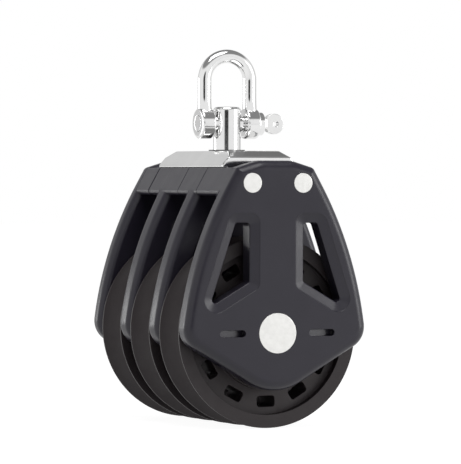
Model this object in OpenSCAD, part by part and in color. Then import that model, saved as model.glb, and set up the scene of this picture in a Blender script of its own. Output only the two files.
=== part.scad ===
// Triple swivel block: three sheaves side by side between four moulded cheeks,
// hung from a stainless swivel post and a D-shackle with a screw pin.
// X runs across the block, Y along the axle, Z up. The origin is the inside crown of the shackle bow.

/* [Sheaves] */
// Outer diameter of a sheave
sheave_d = 75; // [72:0.5:77]
// Width of a sheave between its rim faces
sheave_w = 20.3; // [19:0.1:22]
// Radius of the rope groove's section
groove_r = 10; // [9.8:0.1:12]
// Depth of the rope groove below the rim
groove_depth = 6.6; // [6:0.1:7]
// Width of the flat rim ring on a sheave's side
rim_w = 5.2; // [4.6:0.1:5.8]
// Depth of the recess in a sheave's side
recess_depth = 3.2; // [2.5:0.1:3.6]
// Outer diameter of the raised hub
hub_d = 45; // [42:0.5:47]
// Windows round the web
window_count = 12; // [8:1:14]
// Radius of the circle that the web windows lie on
window_circle_r = 27.2; // [26.5:0.1:28]
// Length of a web window round the circle
window_len = 7.7; // [6:0.1:8.5]
// Height of a web window along the radius
window_h = 4.4; // [3.5:0.1:5]
// Corner radius of a web window
window_r = 1.2; // [0.6:0.1:1.6]
// Turn of the first web window from straight down
window_phase = -1.3; // [-15:0.1:15]

/* [Bearings] */
// Outer diameter of the inner race
race_d = 23; // [22:0.1:24]
// Diameter of a bearing ball
ball_d = 4.8; // [4:0.1:5]
// Balls in one row
ball_count = 16; // [12:1:16]
// Distance between the two rows of balls
row_gap = 10; // [8:0.1:11]
// Running clearance on each side of a ball
ball_clear = 0.05; // [0.03:0.01:0.08]
// Thickness of a bearing retainer
retainer_t = 1.2; // [0.8:0.1:1.6]
// Width of the hub's ledge that a retainer sits on
retainer_ledge = 2; // [1.5:0.1:2.5]

/* [Axle] */
// Diameter of the axle
axle_d = 10; // [8:0.1:12]
// Diameter of the flush heads at the axle's ends
axle_head_d = 15.7; // [14:0.1:18]
// Thickness of the axle's heads
axle_head_t = 2.6; // [2:0.1:3.5]
// Diameter of the thread that joins the axle to its rear screw
axle_thread_d = 6; // [4:0.1:7]
// Length of that thread
axle_thread_len = 16; // [10:0.5:24]

/* [Cheeks] */
// Thickness of the front and back cheeks
outer_t = 8.5; // [7:0.1:10]
// Thickness of the two dividers between the sheaves
divider_t = 7.4; // [6:0.1:9]
// Side clearance between a sheave's rim and a cheek
side_gap = 1.45; // [1:0.05:2]
// Height of the flat top edge above the axle
top_z = 67.2; // [66.6:0.1:69]
// Half width of the flat top edge
top_half = 7; // [5:0.1:9]
// Half width at the top corners
corner_x = 16.3; // [15.6:0.1:17.5]
// Height of the top corners above the axle
corner_z = 64.4; // [63.5:0.1:65]
// Half width at the widest corners, before rounding
widest_x = 39.2; // [38:0.1:41]
// Height of the widest corners, before rounding
widest_z = -2.6; // [-4:0.1:0]
// How far the long sides bow outwards
side_bow = 3.3; // [2:0.1:4]
// Slope of the two lower edges, in degrees
lower_slope = 30.6; // [27:0.1:34]
// Radius of the widest corners
widest_r = 9; // [6:0.1:11]
// Radius of the bottom
bottom_r = 21; // [16:0.5:24]
// Width of the bevel round an outer cheek's face
bevel_w = 2.4; // [1.5:0.1:3.2]
// Depth of that bevel
bevel_d = 2.2; // [1.5:0.1:3]
// Rounding of the plates' edges that look forward between the sheaves
lead_r = 3; // [1.5:0.1:3.5]
// Rounding of the cheeks' edges
edge_r = 1.1; // [0.6:0.1:1.4]

/* [Cheek windows] */
// Distance of a window's recess from the middle line
recess_x = 8.1; // [7.5:0.1:10]
// Height of the recess's top edge
recess_top_z = 46.3; // [45:0.1:48]
// Where the recess's sloping side meets its top edge
recess_top_x = 19.7; // [18.5:0.1:20.5]
// Where the recess's sloping sides would meet, across
recess_tip_x = 34.1; // [33:0.1:34.6]
// Where the recess's sloping sides would meet, up
recess_tip_z = 3; // [2:0.1:5]
// Height of the recess's lower inner corner
recess_low_z = 18; // [16.5:0.1:20]
// Width of the bevel that falls from the face to the opening
recess_w = 3.4; // [2.6:0.1:3.8]
// Depth of that bevel
recess_d = 1.4; // [0.8:0.1:2]
// Length of an axle-level slot
slot_len = 10.8; // [8:0.1:12]
// Height of an axle-level slot
slot_h = 2.7; // [2:0.1:3.5]
// Distance of a slot's middle from the axle
slot_x = 18.9; // [17:0.1:20]
// Depth of a slot at its shallow end
slot_shallow = 0.5; // [0.3:0.1:1]
// Depth of a slot at its deep end
slot_deep = 3; // [2:0.1:4]

/* [Head] */
// Height of the head's underside above the axle
head_z = 53.5; // [52.5:0.1:54]
// Rounding of the head's lower side edges
head_edge_r = 1.6; // [1:0.1:2]
// Radius of the fillets between the head and the cheeks
head_fillet_r = 2.4; // [1.5:0.1:3]
// Depth of the groove at the back seam
seam_depth = 0.6; // [0.3:0.1:0.9]
// Distance of a head bolt from the middle line
bolt_x = 10.75; // [10:0.05:11.2]
// Height of the head bolts above the axle
bolt_z = 58.5; // [58:0.1:59]
// Diameter of a head bolt's shank
bolt_d = 5; // [4:0.1:5.5]
// Diameter of the thread at a head bolt's end
bolt_thread_d = 3; // [2.5:0.1:3.5]
// Diameter of a head bolt's flush head
bolt_head_d = 7.7; // [7:0.1:9]
// Thickness of a head bolt's head
bolt_head_t = 2.2; // [1.6:0.1:3]

/* [Cap] */
// Half width of the cap's foot
cap_foot_x = 16; // [15:0.1:16.3]
// Distance of the cap's ends from the front and back cheeks' inner faces
cap_inset = 9.2; // [8:0.1:10]
// Half width of the cap's flat top
cap_top_x = 11; // [10:0.1:12]
// Length of the slope at each end of the cap
cap_slope_len = 6; // [4:0.1:8]
// Height of the cap above the head
cap_h = 6.7; // [6.2:0.1:7.5]
// Height of the upright front and rear faces
cap_face_h = 4.2; // [3:0.1:4.8]
// Height of the upright lip along the sides
cap_lip_h = 1.2; // [0.6:0.1:2]
// Sheet thickness of the cap
cap_t = 2; // [1.5:0.1:2.3]
// Half width of the cap's tongues
tongue_half = 14; // [13.6:0.1:15]

/* [Swivel] */
// Diameter of the swivel post
post_d = 11; // [10:0.1:12]
// Height of the post above the cap
post_h = 17.7; // [16.5:0.1:19]
// Diameter of the flange that holds the post under the cap
flange_d = 17; // [16:0.1:19]
// Thickness of that flange
flange_t = 2.8; // [2:0.1:3.1]
// Thickness of the thrust washer above the flange
washer_t = 0.9; // [0.6:0.1:1.1]
// Wall of the bush in the cap
bush_wall = 1; // [0.8:0.1:1.4]
// Width of the bush's rim on top of the cap
bush_rim_w = 0.8; // [0.5:0.1:1.2]
// Thickness of the bush's rim
bush_rim_t = 0.5; // [0.3:0.1:0.8]
// Running clearance round the post and the pin
run_clear = 0.05; // [0.03:0.01:0.1]

/* [Shackle] */
// Diameter of the shackle's bar
bar_d = 5.4; // [5:0.1:6]
// Width inside the shackle
shackle_inside = 13.8; // [13:0.1:15]
// Height of the pin's axis above the cap
pin_h = 11; // [10:0.1:12]
// Distance from the pin's axis to the inside crown of the bow
bow_reach = 24.3; // [22:0.1:27]
// Diameter of an ear
ear_d = 12.2; // [11.5:0.1:13]
// How much thicker an ear is than the bar
ear_extra = 0.4; // [0.2:0.1:1]
// Rounding of an ear's edges
ear_edge_r = 1.3; // [0.8:0.1:1.8]
// Diameter of the pin
pin_d = 6; // [5:0.1:6.5]
// Diameter of the pin's collar
collar_d = 9.2; // [8.5:0.1:10]
// Thickness of the pin's collar
collar_t = 2.2; // [1.6:0.1:3]
// Length of the neck between the collar and the thumb tab
neck_len = 2; // [1:0.1:3]
// Diameter of the thumb tab
tab_d = 8.2; // [7.5:0.1:9]
// Thickness of the thumb tab
tab_t = 2.6; // [2:0.1:3.2]
// Diameter of the hole in the thumb tab
tab_hole_d = 2.2; // [1.5:0.1:3]

/* [Hidden] */
$fn = 64;
eps = 0.01;
over = 1;

black = [0.19, 0.19, 0.2];
dark_grey = [0.24, 0.24, 0.25];
steel = [0.83, 0.84, 0.85];
satin = [0.92, 0.92, 0.91];
acetal = [0.13, 0.13, 0.14];
ball_white = [0.93, 0.93, 0.9];

sheave_r = sheave_d / 2;
half_w = sheave_w / 2;
chamber_w = sheave_w + 2 * side_gap;
pitch = chamber_w + divider_t;
// Inner and outer faces of the front and back cheeks
inner_y = pitch + chamber_w / 2;
outer_y = inner_y + outer_t;
cap_foot_y = inner_y - cap_inset;
cap_top_y = cap_foot_y - cap_slope_len;
head_top = corner_z;
cap_top = head_top + cap_h;
pin_z = cap_top + pin_h;
ear_t = bar_d + ear_extra;
leg_x = (shackle_inside + ear_t) / 2;
// The cap's tongues reach as far below the bolts as the bolts' heads do
tongue_z = bolt_z - bolt_head_d / 2;
tongue_h = head_top + cap_lip_h - tongue_z;
crown_z = pin_z + bow_reach;
bore_clear = 0.1;
slit_clear = 0.15;
retainer_clear = 0.3;

// Ball circle and the raceways that follow from it
ball_circle_r = (race_d + ball_d) / 2 - ball_d / 6;
track_r = ball_d / 2 + ball_clear;
hub_bore_r = ball_circle_r + ball_d / 3;
race_r = ball_circle_r - ball_d / 3;

// Plane geometry

function unit(v) = v / norm(v);
function turned(v) = [v[1], -v[0]];
function at(list, i) = list[(i + len(list)) % len(list)];

// Corner i of a clockwise outline, moved inwards by d
function inset_corner(pts, i, d) =
    let (p = at(pts, i))
    let (n1 = turned(unit(p - at(pts, i - 1))))
    let (n2 = turned(unit(at(pts, i + 1) - p)))
    p + d * (n1 + n2) / (1 + n1 * n2);

// Points of the arc that rounds corner p between its neighbours a and b
function corner_arc(a, p, b, r, n) =
    let (u = unit(a - p))
    let (v = unit(b - p))
    let (half = acos(max(-1, min(1, u * v))) / 2)
    let (centre = p + unit(u + v) * r / sin(half))
    let (from = p + u * r / tan(half) - centre)
    let (to = p + v * r / tan(half) - centre)
    let (sweep = 180 - 2 * half)
    [for (k = [0 : n])
        centre + (from * sin(sweep * (1 - k / n)) + to * sin(sweep * k / n)) / sin(sweep)];

// A clockwise outline moved inwards by d, with round corners; steps gives the facets of each corner
function ring(pts, radii, steps, d, least_r) =
    let (q = [for (i = [0 : len(pts) - 1]) inset_corner(pts, i, d)])
    [for (i = [0 : len(q) - 1])
        each corner_arc(at(q, i - 1), q[i], at(q, i + 1), max(radii[i] - d, least_r), steps[i])];

// An open line with its inner corners rounded, each by its own radius and number of facets
function round_line(pts, radii, steps) = concat(
    [pts[0]],
    [for (i = [1 : len(pts) - 2])
        each corner_arc(pts[i - 1], pts[i], pts[i + 1], radii[i - 1], steps[i - 1])],
    [pts[len(pts) - 1]]);

// Solid through a stack of rings; each stop of the profile is [distance along Y, inset]
module stack(pts, radii, steps, profile, least_r = 0.5) {
    rings = [for (s = profile) [for (p = ring(pts, radii, steps, s[1], least_r)) [p[0], s[0], p[1]]]];
    n = len(rings[0]);
    last = len(rings) - 1;
    sides = [for (j = [0 : last - 1], i = [0 : n - 1])
        each [[j * n + (i + 1) % n, j * n + i, (j + 1) * n + i],
              [j * n + (i + 1) % n, (j + 1) * n + i, (j + 1) * n + (i + 1) % n]]];
    near = [[for (i = [0 : n - 1]) i]];
    far = [[for (i = [n - 1 : -1 : 0]) last * n + i]];
    polyhedron(points = [for (r = rings) each r], faces = concat(near, sides, far), convexity = 6);
}

// A cylinder along Y from y0 to y1
module rod_y(d, y0, y1) translate([0, y1, 0]) rotate([90, 0, 0]) cylinder(d = d, h = y1 - y0);
// A ring along Y
module ring_y(d_out, d_in, y0, y1) difference() {
    rod_y(d_out, y0, y1);
    rod_y(d_in, y0 - over, y1 + over);
}
module both_sides() {
    children();
    mirror([1, 0, 0]) children();
}
module at_bolts() for (x = [-bolt_x, bolt_x]) translate([x, 0, bolt_z]) children();
module hung() translate([0, 0, -crown_z]) children();

// Cheeks

// Where the tangents of the bowed side meet, from its chord and its rise
side_a = [corner_x, corner_z];
side_b = [widest_x, widest_z];
side_chord = norm(side_b - side_a);
side_angle = 2 * atan(2 * side_bow / side_chord);
side_mid = (side_a + side_b) / 2 - turned(unit(side_b - side_a)) * tan(side_angle) * side_chord / 2;
// The bowed part takes this share of the side, the rest leads into the corners
side_share = 0.78;
side_r = side_share * side_chord / 2 / sin(side_angle);
corner_r = 2.6;
shoulder_r = 12;
shape_right = [[top_half, top_z], side_a, side_mid, side_b];
shape_bottom = [0, widest_z - widest_x * tan(lower_slope)];
function flip(pts) = [for (i = [len(pts) - 1 : -1 : 0]) [-pts[i][0], pts[i][1]]];
function backwards(list) = [for (i = [len(list) - 1 : -1 : 0]) list[i]];
cheek_pts = concat(shape_right, [shape_bottom], flip(shape_right));
right_radii = [shoulder_r, corner_r, side_r, widest_r];
cheek_radii = concat(right_radii, [bottom_r], backwards(right_radii));
right_steps = [3, 4, 9, 7];
cheek_steps = concat(right_steps, [8], backwards(right_steps));
edge_steps = 3;
lead_steps = 5;
// Rounding of the bevelled plates' edges
rolled_r = 0.8 * edge_r;
// The flat that a rounded edge leaves on a plate's face before the next facet
face_step = 0.4;
// Corner radius along the head's top edges
head_top_r = 0.4;

window_pts = [[recess_x, recess_top_z], [recess_top_x, recess_top_z],
    [recess_tip_x, recess_tip_z], [recess_x, recess_low_z]];
window_radii = [3.4, 4.6, 4.7, 3.4];
window_steps = [5, 5, 7, 5];
opening_r = 1.3;

// Front cheek plate, its bevelled face at -Y; inside_r rounds the edge of its inner face
module outer_plate(inside_r, inside_steps) {
    line = [[-outer_y, bevel_w + edge_r], [-outer_y, bevel_w], [-outer_y + bevel_d, 0],
        [-inner_y, 0], [-inner_y, inside_r + face_step]];
    stack(cheek_pts, cheek_radii, cheek_steps,
        round_line(line, [rolled_r, rolled_r, inside_r], [edge_steps, edge_steps, inside_steps]));
}

// Divider with the wide rounding on its front face
module divider_plate(y) {
    near = y - divider_t / 2;
    far = y + divider_t / 2;
    line = [[near, lead_r + face_step], [near, 0], [far, 0], [far, edge_r + face_step]];
    stack(cheek_pts, cheek_radii, cheek_steps, round_line(line, [lead_r, edge_r], [lead_steps, edge_steps]));
}

// Cutter for an outer cheek's window, with its bevelled recess
module window_cut() {
    soft_r = 0.7;
    mouth_step = 0.3;
    line = [[-outer_y - over, -soft_r], [-outer_y, -soft_r], [-outer_y + recess_d, recess_w],
        [-inner_y, recess_w], [-inner_y + over, recess_w]];
    bend = round_line([line[1] + [0, mouth_step], line[2], line[3]], [soft_r], [edge_steps]);
    stack(window_pts, window_radii, window_steps, concat([line[0] + [0, mouth_step]], bend, [line[4]]), opening_r);
}

// Takes off what would stand above the head, so that the cap sits flat on a divider
module level_top(y) translate([-corner_x - over, y - divider_t, head_top])
    cube([2 * (corner_x + over), 2 * divider_t, top_z]);

module plain_window_cut(y) {
    near = y - divider_t / 2 - over;
    stack(window_pts, window_radii, window_steps,
        [[near, recess_w], [near + divider_t + 2 * over, recess_w]], opening_r);
}

// Section of the head between the cheeks, flush with their edges or set in all round
module head_section(set_in) {
    slope = (side_mid[0] - side_a[0]) / (side_a[1] - side_mid[1]);
    foot_x = corner_x + (head_top - head_z) * slope;
    pts = [[corner_x, head_top], [foot_x, head_z], [-foot_x, head_z], [-corner_x, head_top]];
    radii = [head_top_r, head_edge_r, head_edge_r, head_top_r];
    polygon(ring(pts, radii, [2, 6, 6, 2], set_in, head_top_r / 2));
}
module head_block(y0, y1, set_in = 0) translate([0, y1, 0]) rotate([90, 0, 0])
    linear_extrude(y1 - y0) head_section(set_in);

// Fillet along the head's underside where a cheek's face stands at y; side is +1 or -1 along Y
module head_fillet(y, side) {
    half = corner_x;
    translate([-half, y, head_z]) difference() {
        translate([0, side > 0 ? -over : -head_fillet_r, -head_fillet_r])
            cube([2 * half, head_fillet_r + over, head_fillet_r + over]);
        translate([-over, side * head_fillet_r, -head_fillet_r]) rotate([0, 90, 0])
            cylinder(r = head_fillet_r, h = 2 * half + 2 * over);
    }
}

// Slot from y0 to y1 for a tongue of the cap, open upwards
module tongue_slot(y0, y1) translate([-tongue_half - slit_clear, y0, tongue_z - slit_clear])
    cube([2 * (tongue_half + slit_clear), y1 - y0, head_top]);

module head_bores() {
    rod_y(axle_d + bore_clear, -outer_y - over, outer_y + over);
    at_bolts() rod_y(bolt_d + bore_clear, -outer_y - over, outer_y + over);
}

// Axle-level slot whose floor falls towards +X
module slot_cut(x) {
    r = slot_h / 2;
    floor_angle = atan((slot_deep - slot_shallow) / slot_len);
    intersection() {
        translate([x, -outer_y + slot_deep + over, 0]) rotate([90, 0, 0])
            linear_extrude(slot_deep + 2 * over) {
                square([slot_len - slot_h, slot_h], center = true);
                for (side = [-1, 1]) translate([side * (slot_len / 2 - r), 0]) circle(r = r);
            }
        translate([x - slot_len / 2, -outer_y + slot_shallow, -slot_h])
            rotate([0, 0, floor_angle]) translate([-slot_len, -slot_len, 0])
            cube([3 * slot_len, slot_len, 2 * slot_h]);
    }
}

module outer_cuts() {
    both_sides() window_cut();
    rod_y(axle_head_d + bore_clear, -outer_y - over, -outer_y + axle_head_t);
    at_bolts() rod_y(bolt_head_d + bore_clear, -outer_y - over, -outer_y + bolt_head_t);
}

// Faces of the dividers towards the front
divider_y = pitch / 2;
front_seam = -divider_y - divider_t / 2;
back_seam = pitch;
// Near and far sides of a tongue's slot, from the middle of the block
slit_inner = cap_foot_y - cap_t - slit_clear;
slit_outer = cap_foot_y + slit_clear;
lap = 2;

module front_cheek() hung() color(black) difference() {
    union() {
        outer_plate(rolled_r, edge_steps);
        head_block(-inner_y - lap, front_seam);
        head_fillet(-inner_y, 1);
    }
    outer_cuts();
    for (x = [-slot_x, slot_x]) slot_cut(x);
    head_bores();
    tongue_slot(-slit_outer, -slit_inner);
}

module front_divider() hung() color(black) difference() {
    union() {
        divider_plate(-divider_y);
        head_block(-divider_y - divider_t / 2, 0);
        head_fillet(-divider_y + divider_t / 2, 1);
    }
    level_top(-divider_y);
    both_sides() plain_window_cut(-divider_y);
    head_bores();
}

module rear_divider() hung() color(black) difference() {
    union() {
        divider_plate(divider_y);
        head_block(0, back_seam);
        head_fillet(divider_y - divider_t / 2, -1);
        head_fillet(divider_y + divider_t / 2, 1);
    }
    level_top(divider_y);
    both_sides() plain_window_cut(divider_y);
    head_bores();
    tongue_slot(slit_inner, slit_outer);
}

module back_cheek() hung() color(black) difference() {
    union() {
        mirror([0, 1, 0]) outer_plate(lead_r, lead_steps);
        head_block(back_seam + seam_depth, inner_y + lap);
        // The head's section set in leaves the groove of the back seam
        head_block(back_seam, back_seam + seam_depth + eps, seam_depth);
        head_fillet(inner_y, -1);
    }
    mirror([0, 1, 0]) outer_cuts();
    mirror([0, 1, 0]) for (x = [-slot_x, slot_x]) slot_cut(x);
    head_bores();
    // Open towards the seam, where a wall would be too thin to mould
    tongue_slot(min(back_seam - over, slit_inner), slit_outer);
}

// Sheaves and bearings

module sheave_profile() {
    floor_y = half_w - recess_depth;
    difference() {
        translate([hub_bore_r, -half_w]) square([sheave_r - hub_bore_r, sheave_w]);
        translate([sheave_r - groove_depth + groove_r, 0]) circle(r = groove_r, $fn = 96);
        for (side = [-1, 1]) {
            translate([(hub_d / 2 + sheave_r - rim_w) / 2, side * (floor_y + recess_depth)])
                square([sheave_r - rim_w - hub_d / 2, 2 * recess_depth], center = true);
            translate([hub_bore_r, side * (half_w - retainer_t / 2 + over / 2)])
                square([2 * retainer_ledge, retainer_t + over], center = true);
            translate([ball_circle_r, side * row_gap / 2]) circle(r = track_r);
        }
    }
}

module web_window() {
    w = window_len - 2 * window_r;
    h = window_h - 2 * window_r;
    translate([0, half_w, 0]) rotate([90, 0, 0]) linear_extrude(sheave_w) {
        square([w, window_h], center = true);
        square([window_len, h], center = true);
        for (x = [-w / 2, w / 2], z = [-h / 2, h / 2]) translate([x, z]) circle(r = window_r, $fn = 24);
    }
}

module sheave(k) hung() color(dark_grey) translate([0, k * pitch, 0]) difference() {
    rotate([90, 0, 0]) rotate_extrude($fn = 128) sheave_profile();
    for (i = [0 : window_count - 1])
        rotate([0, window_phase + i * 360 / window_count, 0])
            translate([0, 0, -window_circle_r]) web_window();
}

module race(k) hung() color(satin) translate([0, k * pitch, 0]) rotate([90, 0, 0]) rotate_extrude()
    difference() {
        translate([axle_d / 2 + bore_clear / 2, -chamber_w / 2])
            square([race_r - axle_d / 2 - bore_clear / 2, chamber_w]);
        for (side = [-1, 1]) translate([ball_circle_r, side * row_gap / 2]) circle(r = track_r);
    }

module balls(k) hung() color(ball_white) translate([0, k * pitch, 0])
    for (side = [-1, 1], i = [0 : ball_count - 1])
        rotate([0, (i + (side > 0 ? 0.5 : 0)) * 360 / ball_count, 0])
            translate([ball_circle_r, side * row_gap / 2, 0]) sphere(d = ball_d, $fn = 24);

module retainers(k) hung() color(acetal) translate([0, k * pitch, 0]) for (side = [-1, 1])
    translate([0, side * (half_w - retainer_t / 2), 0])
        ring_y(2 * (hub_bore_r + retainer_ledge), 2 * (race_r + retainer_clear), -retainer_t / 2, retainer_t / 2);

// Axle and bolts

module axle() hung() color(satin) difference() {
    union() {
        rod_y(axle_d, -outer_y + eps, outer_y - axle_head_t);
        rod_y(axle_head_d, -outer_y, -outer_y + axle_head_t);
    }
    rod_y(axle_thread_d, outer_y - axle_head_t - axle_thread_len, outer_y);
}

module axle_screw() hung() color(satin) {
    rod_y(axle_head_d, outer_y - axle_head_t, outer_y);
    rod_y(axle_thread_d, outer_y - axle_head_t - axle_thread_len, outer_y - axle_head_t);
}

// A bolt's thinner end screws into its nut, which is as long as the back cheek is thick
module head_bolts() hung() color(satin) at_bolts() {
    rod_y(bolt_head_d, -outer_y, -outer_y + bolt_head_t);
    rod_y(bolt_d, -outer_y + bolt_head_t, inner_y);
    rod_y(bolt_thread_d, inner_y, outer_y - bolt_head_t);
}

module head_bolt_nuts() hung() color(satin) at_bolts() difference() {
    union() {
        rod_y(bolt_head_d, outer_y - bolt_head_t, outer_y);
        rod_y(bolt_d, inner_y, outer_y - bolt_head_t);
    }
    rod_y(bolt_thread_d, inner_y - over, outer_y - bolt_head_t);
}

// Cap

cap_corner_r = 1.6;
cap_hollow_r = 0.6;

// Thin plate with round corners, the cross-section of the cap at one height
module cap_slab(x, y, z, r) translate([0, 0, z]) linear_extrude(eps) hull()
    for (sx = [-1, 1], sy = [-1, 1]) translate([sx * (x - r), sy * (y - r)]) circle(r = r, $fn = 24);

// The cap's outer form, or its hollow when t is the sheet thickness; the slopes and the upright faces
// meet lower inside than outside, by about a third of the sheet
module cap_form(t, r) {
    shoulder_x = cap_top_x + (cap_foot_x - cap_top_x) * (cap_h - cap_face_h) / (cap_h - cap_lip_h);
    hull() {
        cap_slab(cap_foot_x - t, cap_foot_y - t, head_top - (t > 0 ? over : 0), r);
        cap_slab(cap_foot_x - t, cap_foot_y - t, head_top + cap_lip_h - t / 3, r);
        cap_slab(shoulder_x - t, cap_foot_y - t, head_top + cap_face_h - t / 3, r);
        cap_slab(cap_top_x - t / 2, cap_top_y - t / 2, cap_top - t - eps, r);
    }
}

module head_cap() hung() color(steel) difference() {
    union() {
        difference() {
            cap_form(0, cap_corner_r);
            cap_form(cap_t, cap_hollow_r);
        }
        for (side = [-1, 1]) translate([0, side * (cap_foot_y - cap_t / 2), tongue_z + tongue_h / 2])
            cube([2 * tongue_half, cap_t, tongue_h], center = true);
    }
    translate([0, 0, head_top]) cylinder(d = post_d + 2 * bush_wall + bore_clear, h = 2 * cap_h);
    at_bolts() rod_y(bolt_d + bore_clear, -outer_y, outer_y);
}

// Swivel

module swivel_bush() hung() color(acetal) difference() {
    union() {
        translate([0, 0, cap_top - cap_t]) cylinder(d = post_d + 2 * bush_wall, h = cap_t + eps);
        translate([0, 0, cap_top]) cylinder(d = post_d + 2 * (bush_wall + bush_rim_w), h = bush_rim_t);
    }
    translate([0, 0, cap_top - cap_t - over]) cylinder(d = post_d + 2 * run_clear, h = cap_t + 2 * over);
}

module thrust_washer() hung() color(acetal) translate([0, 0, cap_top - cap_t - washer_t]) difference() {
    cylinder(d = flange_d, h = washer_t);
    translate([0, 0, -over]) cylinder(d = post_d + 2 * run_clear, h = washer_t + 2 * over);
}

module swivel_post() hung() color(steel) difference() {
    flange_top = cap_top - cap_t - washer_t;
    top = cap_top + post_h;
    top_r = 1.4;
    rotate_extrude() {
        translate([0, flange_top - flange_t]) square([flange_d / 2, flange_t]);
        translate([0, flange_top - eps]) square([post_d / 2, top - top_r - flange_top + eps]);
        translate([0, top - top_r - eps]) square([post_d / 2 - top_r, top_r + eps]);
        translate([post_d / 2 - top_r, top - top_r]) intersection() {
            circle(r = top_r, $fn = 32);
            translate([-eps, -eps]) square(top_r + eps);
        }
    }
    translate([-post_d, 0, pin_z]) rotate([0, 90, 0]) cylinder(d = pin_d + 2 * run_clear, h = 2 * post_d);
}

// Shackle

// A round disc about X with rounded edges, centred on the leg
module ear() rotate([0, 90, 0]) rotate_extrude() {
    r = ear_d / 2;
    h = ear_t / 2;
    translate([0, -h]) square([r - ear_edge_r, ear_t]);
    translate([0, -h + ear_edge_r]) square([r, ear_t - 2 * ear_edge_r]);
    for (z = [-h + ear_edge_r, h - ear_edge_r]) translate([r - ear_edge_r, z]) circle(r = ear_edge_r, $fn = 32);
}

module shackle() hung() color(steel) translate([0, 0, pin_z]) difference() {
    arc_z = bow_reach - leg_x + bar_d / 2;
    union() {
        both_sides() translate([leg_x, 0, 0]) {
            ear();
            cylinder(d = bar_d, h = arc_z);
        }
        translate([0, 0, arc_z]) rotate([90, 0, 0]) rotate_extrude(angle = 180, $fn = 96)
            translate([leg_x, 0]) circle(d = bar_d, $fn = 48);
    }
    translate([-leg_x - ear_t, 0, 0]) rotate([0, 90, 0])
        cylinder(d = pin_d + 2 * run_clear, h = 2 * (leg_x + ear_t));
}

module shackle_pin() hung() color(steel) translate([0, 0, pin_z]) {
    ear_face = leg_x + ear_t / 2;
    collar_x = ear_face + collar_t;
    // The tab is sunk into the end of the neck, and its hole lies a little outside its middle
    tab_sink = 0.8;
    hole_out = 0.8;
    neck_d1 = collar_d - 1.2;
    neck_d2 = 1.5 * tab_t;
    tab_x = collar_x + neck_len + tab_d / 2 - tab_sink;
    rotate([0, 90, 0]) {
        translate([0, 0, -ear_face]) cylinder(d = pin_d, h = 2 * ear_face + eps);
        translate([0, 0, ear_face]) cylinder(d = collar_d, h = collar_t);
        translate([0, 0, collar_x - eps]) cylinder(d1 = neck_d1, d2 = neck_d2, h = neck_len + eps);
    }
    difference() {
        translate([tab_x, tab_t / 2, 0]) rotate([90, 0, 0]) cylinder(d = tab_d, h = tab_t);
        translate([tab_x + hole_out, tab_t, 0]) rotate([90, 0, 0]) cylinder(d = tab_hole_d, h = 2 * tab_t);
    }
}

front_cheek();
front_divider();
rear_divider();
back_cheek();
sheave(-1);  // front_sheave
sheave(0);  // middle_sheave
sheave(1);  // rear_sheave
race(-1);  // front_race
race(0);  // middle_race
race(1);  // rear_race
balls(-1);  // front_balls
balls(0);  // middle_balls
balls(1);  // rear_balls
retainers(-1);  // front_retainers
retainers(0);  // middle_retainers
retainers(1);  // rear_retainers
axle();
axle_screw();
head_bolts();
head_bolt_nuts();
head_cap();
swivel_bush();
thrust_washer();
swivel_post();
shackle();
shackle_pin();
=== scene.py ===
# %% [markdown]
# # A triple swivel block, dressed for its portrait
# A sailing block guides a rope round a grooved wheel, the sheave. This one carries three sheaves
# side by side between four black moulded cheeks. A polished cap closes the head, and a swivel
# post with a D-shackle hangs it all up. The solids come from the CAD model, which is the fixed
# frame of this scene: Blender adds finishes, rounder edges and finer curves, never other sizes.

# %% Load the frame
import math

import bmesh
import bpy
from mathutils import Matrix, Vector


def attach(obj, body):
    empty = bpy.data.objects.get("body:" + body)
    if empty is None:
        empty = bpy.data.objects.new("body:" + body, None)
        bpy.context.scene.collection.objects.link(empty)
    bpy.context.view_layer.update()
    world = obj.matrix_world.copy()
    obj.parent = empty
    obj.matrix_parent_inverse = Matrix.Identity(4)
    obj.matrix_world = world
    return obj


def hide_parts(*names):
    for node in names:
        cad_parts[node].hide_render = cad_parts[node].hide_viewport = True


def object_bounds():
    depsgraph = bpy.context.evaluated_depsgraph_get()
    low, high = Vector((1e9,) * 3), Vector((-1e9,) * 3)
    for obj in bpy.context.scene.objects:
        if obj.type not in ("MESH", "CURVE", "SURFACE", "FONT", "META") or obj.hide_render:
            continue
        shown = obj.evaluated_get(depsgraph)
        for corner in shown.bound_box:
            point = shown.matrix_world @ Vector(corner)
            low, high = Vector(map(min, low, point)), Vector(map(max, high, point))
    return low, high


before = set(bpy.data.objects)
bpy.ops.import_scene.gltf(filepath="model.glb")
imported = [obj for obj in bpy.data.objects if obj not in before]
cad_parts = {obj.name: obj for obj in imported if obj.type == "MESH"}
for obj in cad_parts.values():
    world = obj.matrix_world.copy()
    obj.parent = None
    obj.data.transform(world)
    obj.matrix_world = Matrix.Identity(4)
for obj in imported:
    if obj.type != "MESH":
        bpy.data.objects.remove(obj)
cad_box = [list(corner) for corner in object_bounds()]
print("CAD box, low and high corner in metres:", cad_box)

# %% [markdown]
# The drawing is in millimetres with the axle at the middle, because the sheaves, cheeks and bolts
# are all measured from it. The frame has its origin in the shackle's crown instead. One function
# turns the first into the second, so that every piece below can keep the plain workshop numbers.

# %% Millimetres from the axle to the frame
MM = 0.001
AXLE_DROP = 106.4


def in_frame(x, y, z):
    return Vector((x, y, z - AXLE_DROP)) * MM


print("axle centre in the frame:", tuple(round(v, 4) for v in in_frame(0, 0, 0)))

# %% [markdown]
# ## Camera
# The block was photographed with a long lens from the left of its front, almost level with it.
# A long lens keeps the four cheeks nearly the same size, so the lens and the distance matter more
# than they seem to. The three directions of the camera are worked out from its azimuth, its
# elevation and a slight roll.

# %% Set up the camera
AZIMUTH = math.radians(-23.2422)
ELEVATION = math.radians(0.8183)
ROLL = math.radians(0.1248)
DISTANCE = 1546.44
AIM_RIGHT, AIM_UP = 1.5829, 38.6786
LENS = 301.1

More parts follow.
